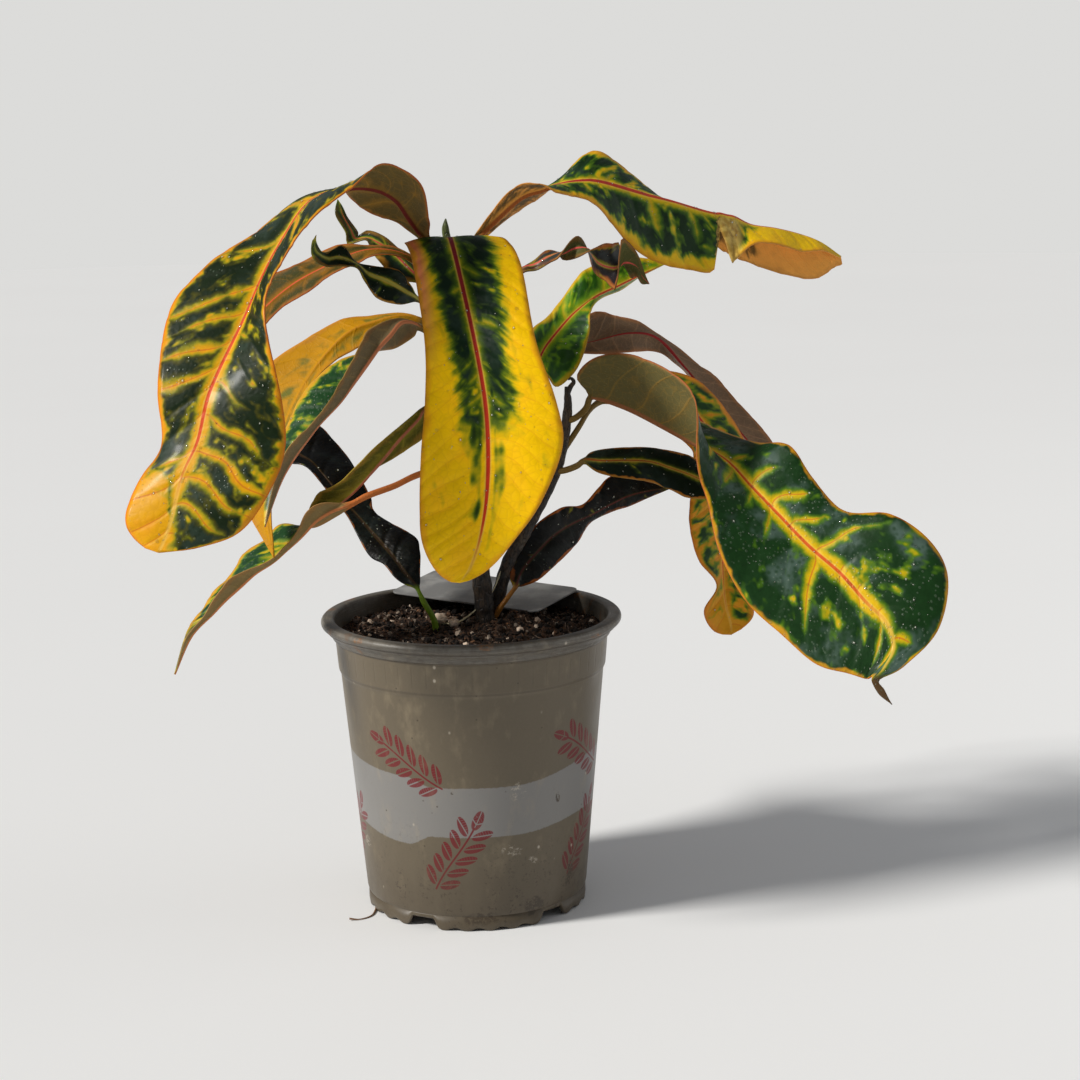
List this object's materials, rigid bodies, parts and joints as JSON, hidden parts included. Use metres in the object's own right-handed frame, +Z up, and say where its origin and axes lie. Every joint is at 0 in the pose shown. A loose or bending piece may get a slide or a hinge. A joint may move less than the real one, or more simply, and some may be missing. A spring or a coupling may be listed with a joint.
{
  "type": "potted croton",
  "caption": "Potted croton: long folded and twisting variegated leaves on a forked woody stem, in a tapered plastic nursery pot of soil with a plain card at the back.",
  "frame": {"origin": "centre of the flat face under the pot that the plant stands on", "axes": "+Z up along the pot's axis, -Y towards the front of the plant, +X to its right"},
  "size_m": [0.3216, 0.2061, 0.3236],
  "materials": {
    "pot": "taupe plastic, scuffed",
    "soil": "damp potting soil with fibres",
    "stem": "ringed bark",
    "card": "plain dark grey",
    "leaf_green": "glossy, green with yellow veins",
    "leaf_golden": "glossy, golden yellow",
    "leaf_underside": "satin, olive to plum brown",
    "leaf_dark": "glossy, nearly black"
  },
  "bodies": {
    "root": {"pot": "pot", "soil": "soil", "stem": "stem", "plant_card": "card", "leaf_left_large": "leaf_green", "leaf_front_golden": "leaf_golden", "leaf_top_right_torn": "leaf_green", "leaf_corkscrew": "leaf_dark", "leaf_right_upper": "leaf_green", "leaf_right_brown": "leaf_underside", "leaf_right_large": "leaf_green", "leaf_right_hanging": "leaf_green", "leaf_right_green": "leaf_green", "leaf_right_dark": "leaf_dark", "leaf_left_dark": "leaf_dark", "leaf_left_golden": "leaf_golden", "leaf_left_folded": "leaf_underside", "leaf_left_olive": "leaf_underside", "leaf_left_slender": "leaf_underside", "leaf_left_curled": "leaf_green", "leaf_left_hooked": "leaf_green", "leaf_left_orange": "leaf_golden", "leaf_back_upper": "leaf_green", "leaf_back_lower": "leaf_green"}
  },
  "joints": []
}
